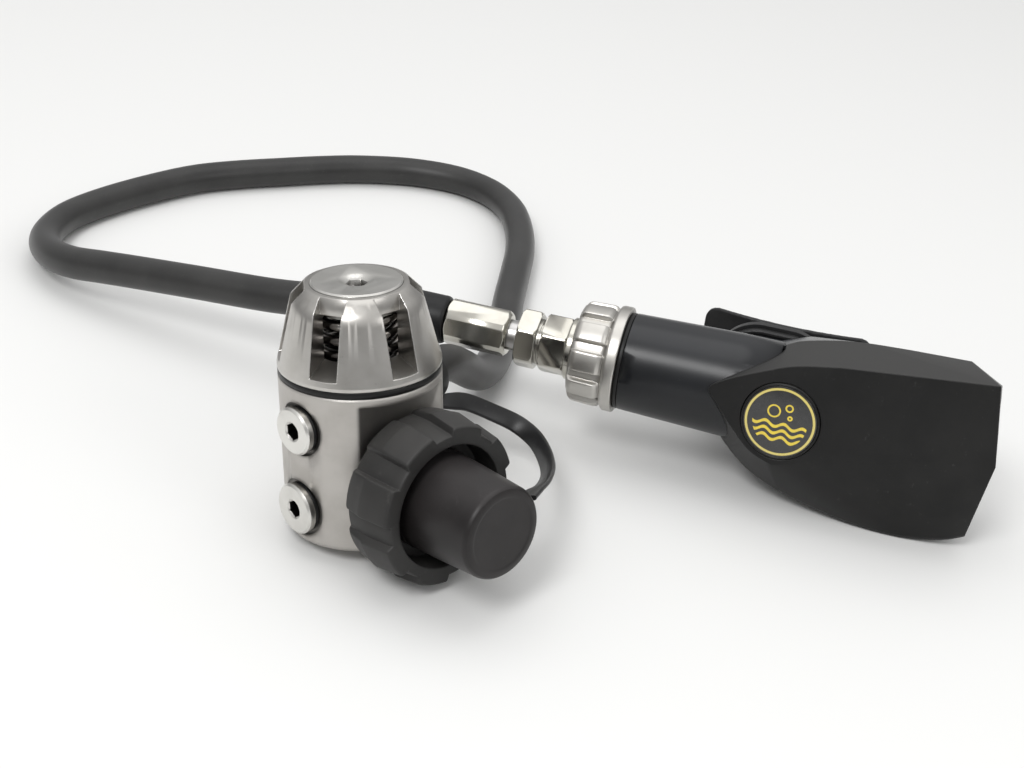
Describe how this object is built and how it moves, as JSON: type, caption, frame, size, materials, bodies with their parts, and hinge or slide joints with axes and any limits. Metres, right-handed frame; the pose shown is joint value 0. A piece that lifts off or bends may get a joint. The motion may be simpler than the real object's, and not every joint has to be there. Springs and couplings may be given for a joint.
{
  "type": "scuba_regulator_set",
  "caption": "Scuba regulator set: diaphragm first stage with slotted cage and threaded cylinder connection, rubber hose and side-exhaust second stage",
  "frame": {"origin": "centre of the first stage's base face", "axes": "+Z away from the table that the set lies on, +X along the set's length from the first stage to the second stage"},
  "size_m": [0.3719, 0.3437, 0.0868],
  "materials": {
    "barrel_metal": "satin nickel plating",
    "cage_metal": "satin nickel plating",
    "plug_metal": "polished nickel plating",
    "hose_metal": "polished chrome plating",
    "nut_metal": "satin chrome plating",
    "steel": "drawn stainless steel",
    "spring_steel": "dark oiled spring steel",
    "brass": "machined brass",
    "bronze": "sintered bronze",
    "wheel_plastic": "moulded, lightly textured",
    "cap_plastic": "moulded, lightly textured",
    "strap_rubber": "moulded",
    "hose_rubber": "smooth hose cover",
    "seal_rubber": "moulded",
    "diaphragm_rubber": "moulded",
    "housing_plastic": "satin moulding",
    "cover_plastic": "satin moulding",
    "button_plastic": "satin moulding",
    "badge_print": "printed inlay",
    "valve_plastic": "machined",
    "mouth_silicone": "soft silicone",
    "clamp_plastic": "moulded"
  },
  "bodies": {
    "first_stage": {"barrel": "barrel_metal", "spring_cage": "cage_metal", "seal_ring": "seal_rubber", "main_spring": "spring_steel", "first_diaphragm": "diaphragm_rubber", "clamp_washer": "steel", "seat_crown": "brass", "poppet_spring": "spring_steel", "base_plug": "barrel_metal", "base_o_ring": "seal_rubber", "low_port_plugs": "plug_metal", "low_port_o_rings": "seal_rubber", "high_port_plugs": "plug_metal", "high_port_o_rings": "seal_rubber", "connector_stem": "plug_metal", "inlet_filter": "bronze", "filter_clip": "steel", "connector_o_ring": "seal_rubber", "cap_strap": "strap_rubber", "hose_fitting": "hose_metal", "hose_fitting_o_ring": "seal_rubber", "lp_hose": "hose_rubber", "hose_sleeve": "strap_rubber", "hose_ferrule": "hose_metal", "hose_stem": "steel", "stem_o_ring": "seal_rubber"},
    "adjusting_plug": {"adjusting_plug": "plug_metal"},
    "valve_train": {"spring_pad": "steel", "valve_lifter": "steel", "pressure_poppet": "steel"},
    "hand_wheel": {"threaded_sleeve": "barrel_metal", "hand_wheel": "wheel_plastic"},
    "dust_cap": {"dust_cap": "cap_plastic"},
    "second_stage": {"swivel_nut": "hose_metal", "inlet_fitting": "hose_metal", "retaining_nut": "nut_metal", "gap_ring": "seal_rubber", "housing": "housing_plastic", "orifice": "brass", "valve_barrel": "steel", "valve_spring": "spring_steel", "second_diaphragm": "diaphragm_rubber", "diaphragm_clamp": "clamp_plastic", "cover": "cover_plastic", "purge_spring": "spring_steel", "mouthpiece": "mouth_silicone", "mouthpiece_clamp": "clamp_plastic"},
    "purge": {"purge_button": "button_plastic", "purge_badge": "badge_print"},
    "diaphragm_plate": {"diaphragm_plate": "steel"},
    "lever": {"lever": "steel"},
    "valve_poppet": {"valve_poppet": "valve_plastic"},
    "exhaust_valve": {"exhaust_valve": "diaphragm_rubber"}
  },
  "joints": [
    {"name": "adjusting_turn", "type": "hinge", "parent": "first_stage", "child": "adjusting_plug", "pos_m": [-0.00809, 0.00781, 0.07719], "axis": [-0.1037, 0.1001, 0.9896], "range_deg": [-180, 180]},
    {"name": "valve_train_lift", "type": "slide", "parent": "first_stage", "child": "valve_train", "axis": [0.1037, -0.1001, -0.9896], "range_m": [0, 0.0008], "stiffness_N_per_m": 4000, "deforming": ["main_spring", "first_diaphragm", "poppet_spring"]},
    {"name": "hand_wheel_spin", "type": "hinge", "parent": "first_stage", "child": "hand_wheel", "pos_m": [0.02292, -0.02214, 0.02404], "axis": [0.7118, -0.6874, 0.1441], "continuous": true},
    {"name": "dust_cap_pull", "type": "slide", "parent": "first_stage", "child": "dust_cap", "axis": [0.7118, -0.6874, 0.1441], "range_m": [0, 0.03], "deforming": ["cap_strap"]},
    {"name": "second_stage_swivel", "type": "hinge", "parent": "first_stage", "child": "second_stage", "pos_m": [0.083, 0.065, 0.0325], "axis": [0.9744, -0.225, 0], "continuous": true},
    {"name": "purge_press", "type": "slide", "parent": "second_stage", "child": "purge", "axis": [0.2946, 0.9398, -0.1731], "range_m": [0, 0.0025], "stiffness_N_per_m": 800, "springref_m": -0.0005, "deforming": ["purge_spring"]},
    {"name": "diaphragm_stroke", "type": "slide", "parent": "second_stage", "child": "diaphragm_plate", "axis": [0.2946, 0.9398, -0.1731], "range_m": [0, 0.0025], "deforming": ["second_diaphragm"]},
    {"name": "lever_tilt", "type": "hinge", "parent": "second_stage", "child": "lever", "pos_m": [0.14563, 0.04286, 0.03382], "axis": [0.0391, 0.1692, 0.9848], "range_deg": [-15.6, 0]},
    {"name": "poppet_open", "type": "slide", "parent": "second_stage", "child": "valve_poppet", "axis": [0.9744, -0.225, 0], "range_m": [0, 0.0014], "deforming": ["valve_spring"]},
    {"name": "exhaust_lift", "type": "slide", "parent": "second_stage", "child": "exhaust_valve", "axis": [0.9744, -0.225, 0], "range_m": [0, 0.002], "stiffness_N_per_m": 40, "springref_m": -0.0005}
  ],
  "couplings": [
    {"joint": "diaphragm_stroke", "follows": "purge_press", "ratio": 1},
    {"joint": "lever_tilt", "follows": "purge_press", "rad_per_m": -108},
    {"joint": "poppet_open", "follows": "purge_press", "ratio": 0.55}
  ]
}
